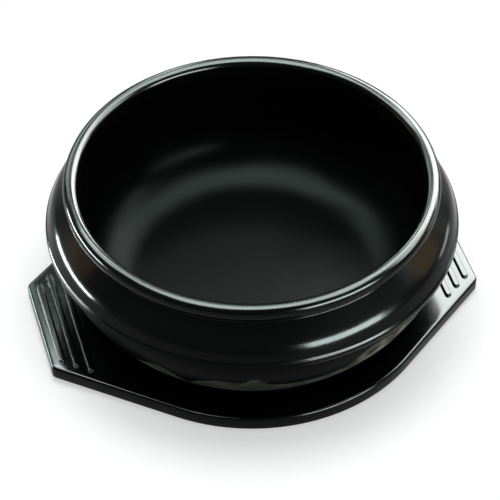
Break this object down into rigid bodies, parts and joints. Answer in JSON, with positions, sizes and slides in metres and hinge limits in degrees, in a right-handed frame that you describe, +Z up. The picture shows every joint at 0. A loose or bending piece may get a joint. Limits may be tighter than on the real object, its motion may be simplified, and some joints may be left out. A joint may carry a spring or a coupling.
{
  "type": "dolsot",
  "caption": "Thick glazed stoneware serving bowl with a rounded lip, grooved neck and raised belt, standing in the shallow well of a flat moulded tray with ribbed handles.",
  "frame": {"origin": "centre of the tray's foot ring, on the surface it stands on", "axes": "+Z up along the bowl's axis, +X along the tray towards one handle"},
  "size_m": [0.206, 0.19, 0.0777],
  "materials": {
    "glazed_stoneware": "glossy black glaze, bare grey clay at the foot",
    "black_plastic": "polished black moulding"
  },
  "bodies": {
    "root": {"bowl": "glazed_stoneware", "tray": "black_plastic"}
  },
  "joints": []
}
